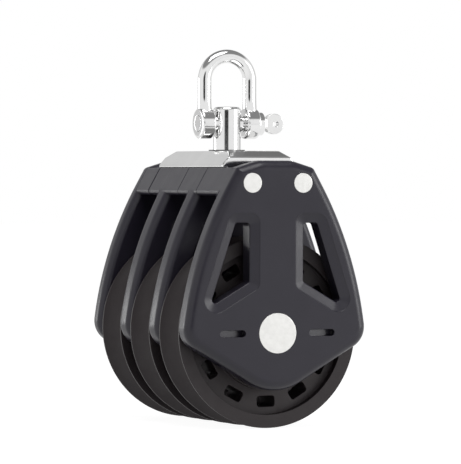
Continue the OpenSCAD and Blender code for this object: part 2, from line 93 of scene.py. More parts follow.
back = Vector((math.sin(AZIMUTH) * math.cos(ELEVATION),
               -math.cos(AZIMUTH) * math.cos(ELEVATION), math.sin(ELEVATION)))
level = Vector((math.cos(AZIMUTH), math.sin(AZIMUTH), 0))
rise = back.cross(level)
right = level * math.cos(ROLL) + rise * math.sin(ROLL)
up = rise * math.cos(ROLL) - level * math.sin(ROLL)

camera = bpy.data.objects.new("camera", bpy.data.cameras.new("camera"))
camera.data.sensor_width = 36
camera.data.sensor_fit = "HORIZONTAL"
camera.data.lens = LENS
camera.data.clip_end = 50
spot = in_frame(*(right * AIM_RIGHT + up * AIM_UP + back * DISTANCE))
camera.matrix_world = Matrix.Translation(spot) @ Matrix((right, up, back)).transposed().to_4x4()
bpy.context.scene.collection.objects.link(camera)
bpy.context.scene.camera = camera
bpy.context.scene.view_settings.view_transform = "Standard"
print("camera stands at", tuple(round(v, 3) for v in spot))

# %% [markdown]
# ## Shader maths
# A finish is a small sum of masks and noises. Written node by node it is hard to read, so a class
# wraps a socket and overloads the arithmetic: an expression such as 0.4 + 0.1 * noise then adds
# its own Math nodes. Every other node comes from one method, which sets the node's own options
# first and its sockets after that.


# %% Sockets that can be added and multiplied
class Val:
    def __init__(self, graph, socket):
        self.graph = graph
        self.socket = socket

    def maths(self, operation, *values):
        return self.graph.node("ShaderNodeMath", dict(operation=operation),
                               {i: v for i, v in enumerate(values)})

    def __add__(self, other):
        return self.maths("ADD", self, other)

    def __sub__(self, other):
        return self.maths("SUBTRACT", self, other)

    def __rsub__(self, other):
        return self.maths("SUBTRACT", other, self)

    def __mul__(self, other):
        return self.maths("MULTIPLY", self, other)

    def __truediv__(self, other):
        return self.maths("DIVIDE", self, other)

    __radd__ = __add__
    __rmul__ = __mul__


# %% One method for every other node
class Graph:
    def __init__(self, tree):
        self.tree = tree
        tree.nodes.clear()

    def node(self, kind, settings, inputs, out=0):
        made = self.tree.nodes.new(kind)
        for name, value in settings.items():
            setattr(made, name, value)
        for name, value in inputs.items():
            self.feed(made.inputs[name], value)
        return Val(self, made.outputs[out] if made.outputs else None)

    def feed(self, socket, value):
        if isinstance(value, Val):
            self.tree.links.new(value.socket, socket)
        else:
            socket.default_value = value

    def noise(self, where, scale, detail=2.0):
        return self.node("ShaderNodeTexNoise", {}, {"Vector": where, "Scale": scale, "Detail": detail})

    def spread(self, value, low, high):
        """Maps a noise's middle values onto low to high."""
        return self.node("ShaderNodeMapRange", {}, {"Value": value, "From Min": 0.3, "From Max": 0.7,
                                                    "To Min": low, "To Max": high})

    def tint(self, mask, dark, light):
        return self.node("ShaderNodeMix", dict(data_type="RGBA"), {0: mask, 6: dark, 7: light}, out=2)


print("shader maths is ready")

# %% [markdown]
# ## Light
# The background is pure white, and the metal mirrors it. The world is therefore white for the
# camera and for reflections, and dimmer for the light that falls on the block. A mirror shows
# more than that white: round the camera the room is dark, which draws the stripe down the
# middle of the polished post, the ceiling is dark too, which shades the cap's end slopes, and
# the wall behind the block is a little greyer, which gives the bright metal its outlines. The
# light that falls on the block is weaker from the front left.

# %% Build the world
world = bpy.data.worlds.new("studio")
bpy.context.scene.world = world
world.use_nodes = True
sky = Graph(world.node_tree)
light_path = sky.node("ShaderNodeLightPath", {}, {}).socket.node
direction = sky.node("ShaderNodeTexCoord", {}, {})


def zone(axis, inner, outer, at_centre, elsewhere):
    """A smooth round zone of the sky about an axis, between two angles in degrees."""
    facing = sky.node("ShaderNodeVectorMath", dict(operation="DOT_PRODUCT"),
                      {0: direction, 1: tuple(axis)}, out=1)
    return sky.node("ShaderNodeMapRange", dict(interpolation_type="SMOOTHSTEP"),
                    {"Value": facing, "From Min": math.cos(math.radians(outer)),
                     "From Max": math.cos(math.radians(inner)),
                     "To Min": elsewhere, "To Max": at_centre})


# %% Zones of the room
PHOTOGRAPHER_TURN = math.radians(-4)
photographer = zone(Matrix.Rotation(PHOTOGRAPHER_TURN, 3, "Z") @ back, 12, 20, 0.04, 1.0)
backdrop = zone(-back, 50, 65, 0.70, 1.0)
ceiling = zone((0, 0, 1), 52, 62, 0.28, 1.0)
left_front = zone((-0.94, -0.34, 0.0), 35, 75, 0.3, 1.0)
seen = Val(sky, light_path.outputs["Is Camera Ray"])
reflected = Val(sky, light_path.outputs["Is Glossy Ray"])
FILL, MIRRORED = 0.3, 0.95
in_mirror = MIRRORED * photographer * backdrop * ceiling
strength = seen + (1 - seen) * (reflected * in_mirror + (1 - reflected) * FILL * left_front)
shine = sky.node("ShaderNodeBackground", {}, {"Color": (1, 1, 1, 1), "Strength": strength})
sky.node("ShaderNodeOutputWorld", {}, {"Surface": shine})
print("world has", len(world.node_tree.nodes), "nodes")

# %% [markdown]
# Large area lamps stand for soft boxes. The right-hand one puts the light edge on every bevel
# that faces right, the left one stands behind the block and grazes the cheeks' edges, and one
# from above keeps the head readable.


# %% Hang the soft boxes
def soft_box(name, place, size, watts):
    lamp = bpy.data.objects.new(name, bpy.data.lights.new(name, "AREA"))
    lamp.data.shape = "RECTANGLE"
    lamp.data.size, lamp.data.size_y = size
    lamp.data.energy = watts
    lamp.location = place
    aim = in_frame(0, 0, 20)
    lamp.rotation_euler = (aim - Vector(place)).to_track_quat("-Z", "Y").to_euler()
    bpy.context.scene.collection.objects.link(lamp)
    return lamp


soft_box("right_box", (0.7, -0.5, -0.05), (0.35, 0.7), 2.7)
soft_box("left_box", (-0.70, 0.90, -0.12), (0.35, 0.45), 2.0)
soft_box("top_box", (-0.1, -0.3, 0.9), (0.8, 0.6), 5.0)
print("three soft boxes hang round the block")

# %% [markdown]
# The floor is a white sheet just under the sheaves. It has to look as white as the background
# and still keep a shadow, so for the camera it is mostly lit from itself.

# %% Lay the floor
floor_z = cad_box[0][2]
bpy.ops.mesh.primitive_plane_add(size=12, location=(0, 0, floor_z - 0.0002))
floor = bpy.context.object
floor.name = "floor"
paper = bpy.data.materials.new("white_sheet")
paper.use_nodes = True
sheet = Graph(paper.node_tree)
sheet_path = sheet.node("ShaderNodeLightPath", {}, {}).socket.node
to_eye = Val(sheet, sheet_path.outputs["Is Camera Ray"])
to_gloss = Val(sheet, sheet_path.outputs["Is Glossy Ray"])
PAPER, SEEN_GLOW, MIRRORED_GLOW = 0.25, 0.95, 0.8
matt = sheet.node("ShaderNodeBsdfDiffuse", {}, {"Color": (PAPER, PAPER, PAPER, 1)})
glow = sheet.node("ShaderNodeEmission", {},
                  {"Color": (1, 1, 1, 1), "Strength": SEEN_GLOW * to_eye + MIRRORED_GLOW * to_gloss})
both = sheet.node("ShaderNodeAddShader", {}, {0: matt, 1: glow})
sheet.node("ShaderNodeOutputMaterial", {}, {"Surface": both})
floor.data.materials.append(paper)
print("floor lies at z =", round(floor_z, 4))

# %% [markdown]
# ## Finishes
# A Bevel node rounds the shading of every sharp edge by a few tenths of a millimetre, which is
# what a mould does to plastic and what polishing does to steel. Without it an edge catches no
# light and looks cut from paper.


# %% Start a finish
def finish(name, colour, roughness, metallic=0.0, edge=0.35, grain=None):
    """colour is (dark, light, cloud scale), roughness (low, high, scale), edge the rounding in
    mm, and grain (scale, depth in mm)."""
    material = bpy.data.materials.new(name)
    material.use_nodes = True
    material.diffuse_color = (*colour[0], 1)
    graph = Graph(material.node_tree)
    where = graph.node("ShaderNodeTexCoord", {}, {}, out=3)
    cloud = graph.noise(where, colour[2], 4.0)
    paint = graph.tint(graph.spread(cloud, 0.0, 1.0), (*colour[0], 1), (*colour[1], 1))
    rough = graph.spread(graph.noise(where, roughness[2], 3.0), roughness[0], roughness[1])
    normal = graph.node("ShaderNodeBevel", dict(samples=6), {"Radius": edge * MM})
    if grain:
        height = graph.noise(where, grain[0], 3.0)
        normal = graph.node("ShaderNodeBump", {}, {"Height": height, "Distance": grain[1] * MM,
                                                   "Strength": 1.0, "Normal": normal})
    body = graph.node("ShaderNodeBsdfPrincipled", {},
                      {"Base Color": paint, "Roughness": rough, "Metallic": metallic,
                       "Normal": normal})
    graph.node("ShaderNodeOutputMaterial", {}, {"Surface": body})
    return material


print("a finish has a colour, a roughness, a soft edge and sometimes a grain")

# %% [markdown]
# The cheeks are glass-filled nylon, a charcoal black with a satin skin. Its colour clouds a
# little where the melt flowed, and the mould's spark-eroded face leaves a grain of about a fifth
# of a millimetre. The sheaves are a harder and duller plastic of the same family.

# %% Mix the plastics and the metals
PLASTIC = {
    "black_composite": finish("black_composite",
                              ((0.0235, 0.0205, 0.0345), (0.0300, 0.0270, 0.0415), 45),
                              (0.28, 0.36, 160), grain=(5200, 0.012)),
    "sheave_composite": finish("sheave_composite",
                               ((0.0235, 0.0165, 0.0185), (0.0285, 0.0212, 0.0232), 60),
                               (0.46, 0.56, 200), grain=(6000, 0.010)),
    "black_acetal": finish("black_acetal", ((0.018, 0.018, 0.019), (0.022, 0.022, 0.023), 80),
                           (0.28, 0.36, 300)),
    "ball_acetal": finish("ball_acetal", ((0.74, 0.73, 0.70), (0.80, 0.79, 0.76), 300),
                          (0.22, 0.30, 400), edge=0.1),
}
METAL = {
    "polished_steel": finish("polished_steel", ((0.80, 0.80, 0.80), (0.86, 0.86, 0.855), 90),
                             (0.05, 0.11, 240), metallic=1.0, edge=0.45, grain=(120, 0.02)),
    "satin_steel": finish("satin_steel", ((0.80, 0.795, 0.775), (0.88, 0.875, 0.855), 500),
                          (0.30, 0.40, 900), metallic=1.0, edge=0.3, grain=(7000, 0.006)),
}
FINISH = {**PLASTIC, **METAL}
print("finishes:", sorted(FINISH))

# %% [markdown]
# ## Round corners
# Each cheek is a plate whose outline is a chain of straight lines and generous corners, and whose
# rim is rolled over. The CAD solid holds that shape in few facets. Here the same corners are
# drawn again with many more steps, so that a highlight can run round them without a break.

# %% Outlines
def turned(v):
    return Vector((v.y, -v.x))


def arc(a, p, b, radius, steps):
    """Points that round the corner p between its neighbours a and b."""
    u, v = (a - p).normalized(), (b - p).normalized()
    half = math.acos(max(-1.0, min(1.0, u.dot(v)))) / 2
    centre = p + (u + v).normalized() * radius / math.sin(half)
    first = p + u * radius / math.tan(half) - centre
    last = p + v * radius / math.tan(half) - centre
    sweep = math.pi - 2 * half
    return [centre + (first * math.sin(sweep * (1 - k / steps)) + last * math.sin(sweep * k / steps))
            / math.sin(sweep) for k in range(steps + 1)]


def outline(corners, inset=0.0, least=0.5):
    """A clockwise outline moved inwards; each corner is (x, z, radius, steps)."""
    pts = [Vector(c[:2]) for c in corners]
    count = len(pts)
    moved = []
    for i, p in enumerate(pts):
        n1 = turned((p - pts[i - 1]).normalized())
        n2 = turned((pts[(i + 1) % count] - p).normalized())
        moved.append(p + inset * (n1 + n2) / (1 + n1.dot(n2)))
    line = []
    for i, p in enumerate(moved):
        radius = max(corners[i][2] - inset, least)
        line += arc(moved[i - 1], p, moved[(i + 1) % count], radius, corners[i][3])
    return line


def soft_profile(line, most=0.7):
    """Rounds each inner corner of a profile by most, or by what its neighbours allow; most may
    also be a list, one radius for each corner."""
    wanted = most if isinstance(most, (list, tuple)) else [most] * (len(line) - 2)
    pts = [Vector(p) for p in line]
    result = [pts[0]]
    for i in range(1, len(pts) - 1):
        reach = min((pts[i] - pts[i - 1]).length, (pts[i + 1] - pts[i]).length) * 0.49
        u, v = (pts[i - 1] - pts[i]).normalized(), (pts[i + 1] - pts[i]).normalized()
        half = math.acos(max(-1.0, min(1.0, u.dot(v)))) / 2
        result += arc(pts[i - 1], pts[i], pts[i + 1], min(wanted[i - 1], reach * math.tan(half)), 8)
    return result + [pts[-1]]


def mirrored(corners):
    return [(-x, z, r, n) for x, z, r, n in reversed(corners)]


square = outline([(-5, 5, 1, 4), (5, 5, 1, 4), (5, -5, 1, 4), (-5, -5, 1, 4)])
print("a square with four round corners has", len(square), "points")


# %% Meshes from rings
def new_mesh(name, verts, faces):
    mesh = bpy.data.meshes.new(name)
    mesh.from_pydata([tuple(v) for v in verts], [], faces)
    shape = bmesh.new()
    shape.from_mesh(mesh)
    bmesh.ops.remove_doubles(shape, verts=shape.verts, dist=1e-5)
    bmesh.ops.recalc_face_normals(shape, faces=shape.faces)
    shape.to_mesh(mesh)
    shape.free()
    obj = bpy.data.objects.new(name, mesh)
    bpy.context.scene.collection.objects.link(obj)
    return obj


def skin(name, rings):
    """A closed solid through rings of equally many points."""
    count = len(rings[0])
    faces = [[j * count + i, j * count + (i + 1) % count, (j + 1) * count + (i + 1) % count,
              (j + 1) * count + i] for j in range(len(rings) - 1) for i in range(count)]
    faces += [list(range(count))[::-1], [(len(rings) - 1) * count + i for i in range(count)]]
    return new_mesh(name, [v for ring in rings for v in ring], faces)


def plate(name, corners, profile, least=0.5):
    """Rings of the outline in XZ; each stop of the profile is (distance along Y, inset)."""
    return skin(name, [[(p.x, y, p.y) for p in outline(corners, inset, least)] for y, inset in profile])


def rod(name, diameter, y0, y1, x=0.0, z=0.0, steps=72):
    circle = [(x + diameter / 2 * math.cos(2 * math.pi * k / steps),
               z + diameter / 2 * math.sin(2 * math.pi * k / steps)) for k in range(steps)]
    return skin(name, [[(a, y, b) for a, b in circle] for y in (y0, y1)])


def brick(name, low, high):
    ring = [(low[0], low[1]), (high[0], low[1]), (high[0], high[1]), (low[0], high[1])]
    return skin(name, [[(a, b, z) for a, b in ring] for z in (low[2], high[2])])


print("rings of points can be skinned into plates, rods and bricks")

# %% [markdown]
# Pieces are joined and cut with exact Booleans, as a mould is cut. The result is taken as a plain
# mesh, because a live modifier would be worked out again in every render and at every pose.

# %% Join, cut and settle
def settle(obj):
    view = bpy.context.evaluated_depsgraph_get()
    mesh = bpy.data.meshes.new_from_object(obj.evaluated_get(view))
    obj.modifiers.clear()
    obj.data = mesh
    return obj


def combine(obj, tools, how):
    for tool in tools:
        step = obj.modifiers.new("step", "BOOLEAN")
        step.operation, step.solver, step.object = how, "EXACT", tool
    settle(obj)
    for tool in tools:
        bpy.data.objects.remove(tool)
    return obj


def finished(obj, material, body, replaces, sharp=32, weighted=True):
    """Brings a piece from the drawing into the frame, smooths it and hands it to its body."""
    shape = bmesh.new()
    shape.from_mesh(obj.data)
    bmesh.ops.remove_doubles(shape, verts=shape.verts, dist=1e-4)
    bmesh.ops.dissolve_degenerate(shape, edges=shape.edges, dist=1e-4)
    bmesh.ops.transform(shape, verts=shape.verts,
                        matrix=Matrix.Scale(MM, 4) @ Matrix.Translation((0, 0, -AXLE_DROP)))
    for face in shape.faces:
        face.smooth = True
    shape.to_mesh(obj.data)
    shape.free()
    obj.data.set_sharp_from_angle(angle=math.radians(sharp))
    if weighted:
        even = obj.modifiers.new("even", "WEIGHTED_NORMAL")
        even.keep_sharp = True
        settle(obj)
    obj.data.materials.clear()
    obj.data.materials.append(FINISH[material])
    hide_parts(*replaces)
    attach(obj, body)
    print(obj.name, "has", len(obj.data.polygons), "faces and replaces", ", ".join(replaces))
    return obj


print("pieces can be joined, cut, smoothed and handed to a body")

# %% [markdown]
# ## Cheeks
# Sizes come from the drawing. A cheek's long side bows out a little: the two tangents of the bow
# meet at a point beside it, and a large corner radius at that point draws the bow, over about
# three quarters of the side.

# %% The cheek's outline
INNER_Y, OUTER_Y = 42.2, 50.7
PITCH, DIVIDER_T = 30.6, 7.4
CORNER = Vector((16.3, 64.4))
WIDEST = Vector((39.2, -2.6))
TOP_Z, TOP_HALF = 67.2, 7.0
SIDE_BOW, BOW_SHARE = 3.3, 0.78
LOWER_SLOPE = math.radians(30.6)
chord = (WIDEST - CORNER).length
bow_angle = 2 * math.atan(2 * SIDE_BOW / chord)
bow_rise = math.tan(bow_angle) * chord / 2
bow_point = (CORNER + WIDEST) / 2 - turned((WIDEST - CORNER).normalized()) * bow_rise
bow_radius = BOW_SHARE * chord / 2 / math.sin(bow_angle)
right_side = [(TOP_HALF, TOP_Z, 12, 6), (*CORNER, 2.6, 8),
              (*bow_point, bow_radius, 28), (*WIDEST, 9, 18)]
low_z = WIDEST.y - WIDEST.x * math.tan(LOWER_SLOPE)
CHEEK = right_side + [(0, low_z, 21, 20)] + mirrored(right_side)
WINDOW = [(8.1, 46.3, 3.4, 9), (19.7, 46.3, 4.6, 9), (34.1, 3, 4.7, 14), (8.1, 18, 3.4, 9)]
print("cheek outline has", len(outline(CHEEK)), "points, bow radius", round(bow_radius, 1), "mm")

# %% [markdown]
# The head ties the cheeks together. It has the cheeks' own slope at its sides, and leaves a
# cheek's rear face in a fillet, so its section grows downwards there. Rings of that section,
# lined up along the axle, are skinned into one solid.

# %% The head's section and its fillets
HEAD_TOP, HEAD_Z, HEAD_EDGE, SEAM_EDGE = 64.4, 53.5, 1.6, 0.3
FILLET, FILLET_STEPS = 2.4, 8
side_slope = (bow_point.x - CORNER.x) / (CORNER.y - bow_point.y)
FLUSH, HEAD_LEAST_R = 0.02, 0.2


def head_ring(y, drop=0.0, inset=0.0):
    foot_z = HEAD_Z - drop
    foot_x = CORNER.x + (HEAD_TOP - foot_z) * side_slope
    corners = [(CORNER.x, HEAD_TOP, 0.4, 3), (foot_x, foot_z, HEAD_EDGE, 8)]
    section = outline(corners + mirrored(corners), inset + FLUSH, HEAD_LEAST_R)
    return [(p.x, y, p.y) for p in section]


def head(name, y0, y1, faces, seams=()):
    """A head from y0 to y1; faces lists (y, side) of cheek faces, seams the ends that show a joint."""
    drop_at = {y0: 0.0, y1: 0.0}
    for y, side in faces:
        inside = y - side * 0.5
        drop_at[inside] = 0.0
        for k in range(FILLET_STEPS + 1):
            away = FILLET * k / FILLET_STEPS
            drop_at[y + side * away] = FILLET - math.sqrt(FILLET ** 2 - (FILLET - away) ** 2)
    rings = [head_ring(y, drop_at[y]) for y in sorted(drop_at)]
    for y, inwards in seams:
        ring = head_ring(y, 0.0, SEAM_EDGE)
        near = head_ring(y + inwards * SEAM_EDGE)
        if y == y0:
            rings[0:1] = [ring, near]
        else:
            rings[-1:] = [near, ring]
    return skin(name, rings)


print("the head's sides slope by", round(math.degrees(math.atan(side_slope)), 1), "degrees")

# %% [markdown]
# The windows, the bores and the slots are cut with solids of their own. A bore is a tenth of a
# millimetre wider than what goes through it, and every cutter reaches past the surface that it
# starts or ends at, because two faces in one plane don't cut cleanly.

# %% Sizes of what is cut
RECESS_W, RECESS_D, SOFT, WINDOW_LEAST_R = 3.4, 1.4, 0.7, 1.3
BORE, SLIT, OVER = 0.1, 0.15, 1.0
AXLE_D, AXLE_HEAD_D, AXLE_HEAD_T = 10, 15.7, 2.6
BOLT_X, BOLT_Z, BOLT_D, BOLT_HEAD_D, BOLT_HEAD_T = 10.75, 58.5, 5, 7.7, 2.2
TONGUE_HALF, TONGUE_LOW = 14, BOLT_Z - BOLT_HEAD_D / 2
SLOT_X, SLOT_LEN, SLOT_H, SLOT_SHALLOW, SLOT_DEEP = 18.9, 10.8, 2.7, 0.5, 3.0


def flipped(obj, x=1, y=1):
    shape = bmesh.new()
    shape.from_mesh(obj.data)
    bmesh.ops.scale(shape, vec=(x, y, 1), verts=shape.verts)
    bmesh.ops.recalc_face_normals(shape, faces=shape.faces)
    shape.to_mesh(obj.data)
    shape.free()
    return obj


# %% Windows
def outer_window(side, front):
    line = [(-OUTER_Y - OVER, -SOFT), (-OUTER_Y + 0.1, -SOFT), (-OUTER_Y + RECESS_D, RECESS_W),
            (-INNER_Y - SOFT, RECESS_W), (-INNER_Y + OVER, RECESS_W - SOFT - OVER)]
    return flipped(plate("window", WINDOW, soft_profile(line), WINDOW_LEAST_R), side, front)


def inner_window(side, y):
    a, b = y - DIVIDER_T / 2, y + DIVIDER_T / 2
    mouth = RECESS_W - 2 * OVER
    line = [(a - OVER, mouth), (a + OVER, RECESS_W), (b - OVER, RECESS_W), (b + OVER, mouth)]
    return flipped(plate("window", WINDOW, soft_profile(line), WINDOW_LEAST_R), side)


# %% Bores, seats and slots
def bolt_bores():
    return [rod("bore", BOLT_D + BORE, -OUTER_Y - OVER, OUTER_Y + OVER, x, BOLT_Z)
            for x in (-BOLT_X, BOLT_X)]


def axle_bore():
    return rod("axle_bore", AXLE_D + BORE, -OUTER_Y - OVER, OUTER_Y + OVER)


def head_seat(diameter, depth, front, x=0.0, z=0.0):
    """The seat of a flush head in an outer cheek's face."""
    return flipped(rod("seat", diameter + BORE, -OUTER_Y - OVER, -OUTER_Y + depth, x, z), 1, front)


def tongue_slot(y0, y1):
    low = TONGUE_LOW - SLIT
    return brick("slot", (-TONGUE_HALF - SLIT, y0, low), (TONGUE_HALF + SLIT, y1, low + HEAD_TOP))


def slot(x, front):
    """A shallow slot beside the axle; its floor falls towards +X."""
    half, r, steps = SLOT_LEN / 2, SLOT_H / 2, 12
    ring = []
    for end in (1, -1):
        for k in range(steps + 1):
            a = math.pi * (k / steps - 0.5)
            ring.append((end * (half - r + r * math.cos(a)), end * r * math.sin(a)))
    fall = (SLOT_DEEP - SLOT_SHALLOW) / SLOT_LEN
    rings = [[(x + a, -OUTER_Y - OVER, b) for a, b in ring],
             [(x + a, -OUTER_Y + SLOT_SHALLOW + (a + half) * fall, b) for a, b in ring]]
    return flipped(skin("slot", rings), 1, front)


print("a bore is", BORE, "mm wider than its shaft, a tongue's slot", SLIT, "mm wider on each side")

# %% [markdown]
# Every face that looks forward between the sheaves meets its rim in a wide rounding, which leads
# the rope in. The light dies away over it, so from the front left each divider shows a bright
# line, a grey rim and a soft shadow rather than a hard corner. The outer faces roll over into
# their rims in one soft curve, and a divider's rim is crowned by half a millimetre. A cheek's
# rings start and end a few millimetres in from its rim, and a flat face closes them there.

# %% Shape an outer cheek
LEAD_R, ROLL_R, INSIDE_R, REAR_R = 3.0, 4.0, 1.0, 1.1
ROLL_IN, ROLL_DEEP, FACE_IN, REAR_IN = 2.4, 2.2, 7.0, 3.0
CROWN, CROWN_R, CROWN_END = 0.5, 14.0, 1.6
CAP_FOOT_Y, CAP_T, SEAM = 33.0, 2.0, 0.6


def outer_cheek(name, front, head_part):
    """front is 1 for the front cheek and -1 for the back one."""
    line = [(-OUTER_Y, FACE_IN), (-OUTER_Y, ROLL_IN), (-OUTER_Y + ROLL_DEEP, 0), (-INNER_Y, 0),
            (-INNER_Y, FACE_IN)]
    rims = [ROLL_R, ROLL_R, INSIDE_R if front > 0 else LEAD_R]
    body = flipped(plate(name, CHEEK, soft_profile(line, rims)), 1, front)
    combine(body, [head_part], "UNION")
    tools = [outer_window(side, front) for side in (1, -1)]
    tools += [slot(x, front) for x in (-SLOT_X, SLOT_X)]
    tools += [axle_bore(), head_seat(AXLE_HEAD_D, AXLE_HEAD_T, front)]
    tools += [head_seat(BOLT_HEAD_D, BOLT_HEAD_T, front, x, BOLT_Z) for x in (-BOLT_X, BOLT_X)]
    if front > 0:
        tools.append(tongue_slot(-CAP_FOOT_Y - SLIT, -CAP_FOOT_Y + CAP_T + SLIT))
    else:
        tools.append(tongue_slot(PITCH - OVER, CAP_FOOT_Y + SLIT))
    return combine(body, tools + bolt_bores(), "DIFFERENCE")


# %% Shape a divider
def divider(name, y, head_part):
    a, b = y - DIVIDER_T / 2, y + DIVIDER_T / 2
    line = [(a, FACE_IN), (a, CROWN), (b - CROWN_END, 0), (b, 0), (b, REAR_IN)]
    body = plate(name, CHEEK, soft_profile(line, [LEAD_R, CROWN_R, REAR_R]))
    level_top = brick("level_top", (-20, a - 3, HEAD_TOP), (20, b + 3, HEAD_TOP + 9))
    combine(body, [level_top], "DIFFERENCE")
    combine(body, [head_part], "UNION")
    tools = [inner_window(side, y) for side in (1, -1)]
    return combine(body, tools + [axle_bore()] + bolt_bores(), "DIFFERENCE")


# %% Mould the four cheeks
half_pitch = PITCH / 2
seam = half_pitch + DIVIDER_T / 2
front_cheek = outer_cheek("front_cheek_moulding", 1,
                          head("head", -INNER_Y - 2, -seam, [(-INNER_Y, 1)], [(-seam, -1)]))
front_head = head("head", -seam, 0, [(-half_pitch + DIVIDER_T / 2, 1)], [(-seam, 1), (0, -1)])
front_divider = divider("front_divider_moulding", -half_pitch, front_head)
rear_head = head("head", 0, PITCH, [(half_pitch + DIVIDER_T / 2, 1)], [(0, 1), (PITCH, -1)])
rear_divider = divider("rear_divider_moulding", half_pitch, rear_head)
back_seam = PITCH + SEAM
back_cheek = outer_cheek("back_cheek_moulding", -1,
                         head("head", back_seam, INNER_Y + 2, [], [(back_seam, 1)]))
neck = skin("neck", [head_ring(y, 0.0, SEAM) for y in (PITCH, back_seam + 1)])
combine(back_cheek, [neck], "UNION")
for piece, node in ((front_cheek, "front_cheek"), (front_divider, "front_divider"),
                    (rear_divider, "rear_divider"), (back_cheek, "back_cheek")):
    finished(piece, "black_composite", "block", [node])

# %% [markdown]
# ## Cap
# The cap is pressed from polished sheet. Its sides slope from a low upright lip, and its ends
# stand upright before they slope in. A block of flat faces and one bevel modifier give the
# pressing its even, rounded folds; the hollow and the holes are cut afterwards so that the bevel
# stays clean.

# %% Fold the cap's block
CAP_H, LIP_H, FACE_H = 6.7, 1.2, 4.2
CAP_FOOT_X, CAP_TOP_X, CAP_TOP_Y = 16.0, 11.0, 27.0
FOLD_R, BUSH_D = 1.3, 13


def cap_block(name, less, foot):
    shoulder = CAP_TOP_X + (CAP_FOOT_X - CAP_TOP_X) * (CAP_H - FACE_H) / (CAP_H - LIP_H)
    levels = [(CAP_FOOT_X - less, CAP_FOOT_Y - less, HEAD_TOP - foot),
              (CAP_FOOT_X - less, CAP_FOOT_Y - less, HEAD_TOP + LIP_H - less / 3),
              (shoulder - less, CAP_FOOT_Y - less, HEAD_TOP + FACE_H - less / 3),
              (CAP_TOP_X - less / 2, CAP_TOP_Y - less / 2, HEAD_TOP + CAP_H - less)]
    shape = bmesh.new()
    for x, y, z in levels:
        for sx, sy in ((-1, -1), (1, -1), (1, 1), (-1, 1)):
            shape.verts.new((sx * x, sy * y, z))
    bmesh.ops.convex_hull(shape, input=shape.verts)
    bmesh.ops.dissolve_limit(shape, angle_limit=0.01, verts=shape.verts, edges=shape.edges)
    bmesh.ops.recalc_face_normals(shape, faces=shape.faces)
    mesh = bpy.data.meshes.new(name)
    shape.to_mesh(mesh)
    shape.free()
    obj = bpy.data.objects.new(name, mesh)
    bpy.context.scene.collection.objects.link(obj)
    return obj


def upright(name, diameter, z0, z1, steps=72):
    return skin(name, [[(diameter / 2 * math.cos(2 * math.pi * k / steps),
                         diameter / 2 * math.sin(2 * math.pi * k / steps), z) for k in range(steps)]
                       for z in (z0, z1)])


# %% Press the cap
cap = cap_block("cap_pressing", 0.0, 0.0)
folds = cap.modifiers.new("folds", "BEVEL")
folds.width, folds.segments, folds.limit_method = FOLD_R, 6, "ANGLE"
folds.angle_limit = math.radians(12)
settle(cap)
foot_trim = brick("foot_trim", (-40, -60, HEAD_TOP - 4), (40, 60, HEAD_TOP + 0.02))
combine(cap, [foot_trim, cap_block("hollow", CAP_T, 1.0)], "DIFFERENCE")
tongue_y = CAP_FOOT_Y - CAP_T / 2
tongues = [brick("tongue", (-TONGUE_HALF, side * tongue_y - CAP_T / 2, TONGUE_LOW),
                 (TONGUE_HALF, side * tongue_y + CAP_T / 2, HEAD_TOP + 1)) for side in (-1, 1)]
combine(cap, tongues, "UNION")
post_hole = upright("post_hole", BUSH_D + BORE, HEAD_TOP - 1, HEAD_TOP + 9)
combine(cap, [post_hole] + bolt_bores(), "DIFFERENCE")
finished(cap, "polished_steel", "block", ["head_cap"], sharp=40)

# %% [markdown]
# ## Shackle
# The bow is one bar bent round. Its path is a rule, so Geometry Nodes draw it: a straight curve
# is measured along its length, and each point is sent up one leg, round the crown and down the
# other. The bar spreads fore and aft where it grows into its ears, as a forging does.

# %% A small kit for node trees that make shapes
def shape_tree(name, inputs):
    """A Geometry Nodes tree with named number inputs; returns its graph and its input values."""
    tree = bpy.data.node_groups.new(name, "GeometryNodeTree")
    graph = Graph(tree)
    for label, kind in inputs:
        tree.interface.new_socket(label, in_out="INPUT", socket_type=kind)
    tree.interface.new_socket("Shape", in_out="OUTPUT", socket_type="NodeSocketGeometry")
    start = tree.nodes.new("NodeGroupInput")
    return graph, {label: Val(graph, start.outputs[label]) for label, _ in inputs}


def end_tree(graph, shape, material):
    whole = graph.node("GeometryNodeRealizeInstances", {}, {0: shape})
    dressed = graph.node("GeometryNodeSetMaterial", {}, {"Geometry": whole, "Material": material})
    end = graph.tree.nodes.new("NodeGroupOutput")
    graph.tree.links.new(dressed.socket, end.inputs["Shape"])


def grown(name, graph, sizes):
    """Runs a tree with these sizes and returns the plain mesh it makes."""
    obj = bpy.data.objects.new(name, bpy.data.meshes.new(name))
    bpy.context.scene.collection.objects.link(obj)
    grow = obj.modifiers.new("grow", "NODES")
    grow.node_group = graph.tree
    for item in graph.tree.interface.items_tree:
        if item.in_out == "INPUT":
            grow[item.identifier] = sizes[item.name]
    return settle(obj)


print("node trees can be built, ended and grown")

# %% Send a line up one leg, round the crown and down the other
LEG_X, BAR_D, BOW_REACH = 9.8, 5.4, 24.3
PIN_Z = 82.1
EAR_D, EAR_T, EAR_EDGE, EAR_STEP, PIN_HOLE = 12.2, 5.8, 1.3, 0.6, 6.1
FULL_SPREAD_Z, BOW_STOPS, BAR_SIDES = 2.0, 161, 48
FLOAT = "NodeSocketFloat"

